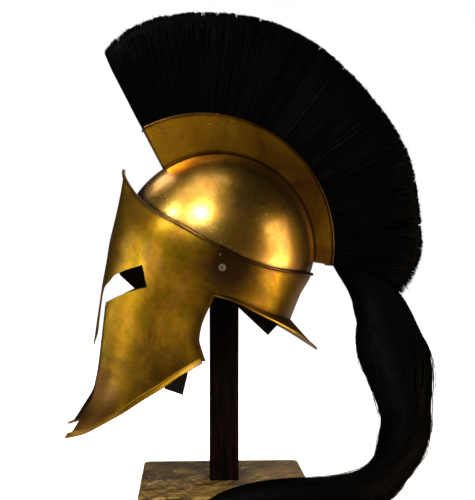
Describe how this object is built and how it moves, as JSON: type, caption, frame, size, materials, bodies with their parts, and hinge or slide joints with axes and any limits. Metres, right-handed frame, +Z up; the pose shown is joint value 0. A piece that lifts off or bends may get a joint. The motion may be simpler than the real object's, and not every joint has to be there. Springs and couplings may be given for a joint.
{
  "type": "corinthian helmet on a wooden stand",
  "caption": "Greek style crested brass helmet with a black hair brush and a long hair tail, resting on a square wooden post and base.",
  "frame": {"origin": "centre of the stand's underside, under the post, in the helmet's plane of symmetry", "axes": "-Y is where the face looks, +X is the wearer's left, +Z is up"},
  "size_m": [0.2727, 0.4499, 0.6021],
  "materials": {
    "brass": "antiqued satin, mottled olive and red-brown",
    "steel": "dull plated",
    "hair": "coarse black hair",
    "leather": "dark, worn",
    "post_wood": "dark stain",
    "base_wood": "brown stain over plain grain"
  },
  "bodies": {
    "root": {"skull_dome": "brass", "face_mask": "brass", "crest_box": "brass", "crest_brush": "hair", "crest_tail": "hair", "chin_strap_left": "leather", "chin_strap_right": "leather", "temple_pad_right": "leather", "temple_rivet_left": "steel", "temple_rivet_right": "steel", "rim_pin_left_a": "steel", "rim_pin_left_b": "steel", "rim_pin_left_c": "steel", "rim_pin_right_a": "steel", "rim_pin_right_b": "steel", "rim_pin_right_c": "steel", "stand_base": "base_wood", "stand_post": "post_wood"}
  },
  "joints": []
}
